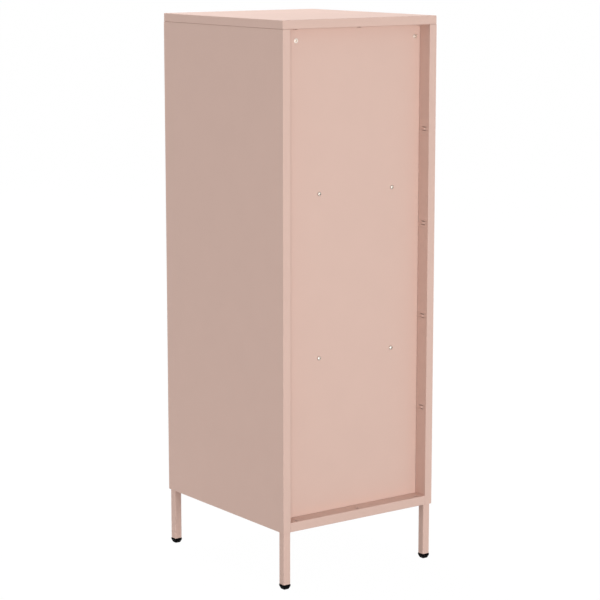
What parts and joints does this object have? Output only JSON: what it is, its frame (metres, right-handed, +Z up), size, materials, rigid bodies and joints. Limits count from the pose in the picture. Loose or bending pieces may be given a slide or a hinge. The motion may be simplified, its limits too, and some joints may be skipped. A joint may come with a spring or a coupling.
{
  "type": "locker cabinet",
  "caption": "Tall steel locker cabinet on square tube legs, with stacked compartments behind hinged, lockable doors and a recessed back panel.",
  "frame": {"origin": "on the floor, under the centre of the whole cabinet with its door pulls", "axes": "+Z up; the doors face -Y, the recessed back panel faces +Y, +X is the right-hand side seen from the doors"},
  "size_m": [0.37, 0.436, 1.1],
  "materials": {
    "powder_coat": "satin powder coat, dusty pink",
    "zinc": "bright zinc plate",
    "chrome": "polished",
    "black_plastic": "moulded, fine grain",
    "rubber": "matt"
  },
  "bodies": {
    "case": {"top_panel": "powder_coat", "bottom_panel": "powder_coat", "right_side_panel": "powder_coat", "left_side_panel": "powder_coat", "back_panel": "powder_coat", "middle_shelf": "powder_coat", "upper_shelf": "powder_coat", "middle_shelf_screw_left": "zinc", "middle_shelf_screw_right": "zinc", "upper_shelf_screw_left": "zinc", "upper_shelf_screw_right": "zinc", "wall_anchor_left": "zinc", "wall_anchor_right": "zinc", "front_left_leg": "powder_coat", "front_left_glide": "black_plastic", "front_left_leg_bolt": "zinc", "front_right_leg": "powder_coat", "front_right_glide": "black_plastic", "front_right_leg_bolt": "zinc", "rear_left_leg": "powder_coat", "rear_left_glide": "black_plastic", "rear_left_leg_bolt": "zinc", "rear_right_leg": "powder_coat", "rear_right_glide": "black_plastic", "rear_right_leg_bolt": "zinc", "lower_bumper": "rubber", "middle_bumper": "rubber", "upper_bumper": "rubber"},
    "lower_door_body": {"lower_door": "powder_coat", "lower_door_stiffener": "powder_coat", "lower_hinge_pin_top": "zinc", "lower_hinge_pin_bottom": "zinc", "lower_pull": "powder_coat", "lower_lock_barrel": "chrome", "lower_lock_nut": "zinc"},
    "lower_lock_body": {"lower_lock_plug": "chrome", "lower_lock_cam": "zinc", "lower_key": "chrome"},
    "middle_door_body": {"middle_door": "powder_coat", "middle_door_stiffener": "powder_coat", "middle_hinge_pin_top": "zinc", "middle_hinge_pin_bottom": "zinc", "middle_pull": "powder_coat", "middle_lock_barrel": "chrome", "middle_lock_nut": "zinc"},
    "middle_lock_body": {"middle_lock_plug": "chrome", "middle_lock_cam": "zinc", "middle_key": "chrome"},
    "upper_door_body": {"upper_door": "powder_coat", "upper_door_stiffener": "powder_coat", "upper_hinge_pin_top": "zinc", "upper_hinge_pin_bottom": "zinc", "upper_pull": "powder_coat", "upper_lock_barrel": "chrome", "upper_lock_nut": "zinc"},
    "upper_lock_body": {"upper_lock_plug": "chrome", "upper_lock_cam": "zinc", "upper_key": "chrome"}
  },
  "joints": [
    {"name": "lower_door_hinge", "type": "hinge", "parent": "case", "child": "lower_door_body", "pos_m": [0.157, -0.187, 0.28617], "axis": [0, 0, 1], "range_deg": [0, 110]},
    {"name": "lower_lock_turn", "type": "hinge", "parent": "lower_door_body", "child": "lower_lock_body", "pos_m": [-0.144, -0.192, 0.25617], "axis": [0, 1, 0], "range_deg": [0, 90]},
    {"name": "middle_door_hinge", "type": "hinge", "parent": "case", "child": "middle_door_body", "pos_m": [0.157, -0.187, 0.6083], "axis": [0, 0, 1], "range_deg": [0, 110]},
    {"name": "middle_lock_turn", "type": "hinge", "parent": "middle_door_body", "child": "middle_lock_body", "pos_m": [-0.144, -0.192, 0.5783], "axis": [0, 1, 0], "range_deg": [0, 90]},
    {"name": "upper_door_hinge", "type": "hinge", "parent": "case", "child": "upper_door_body", "pos_m": [0.157, -0.187, 0.93043], "axis": [0, 0, 1], "range_deg": [0, 110]},
    {"name": "upper_lock_turn", "type": "hinge", "parent": "upper_door_body", "child": "upper_lock_body", "pos_m": [-0.144, -0.192, 0.90043], "axis": [0, 1, 0], "range_deg": [0, 90]}
  ]
}
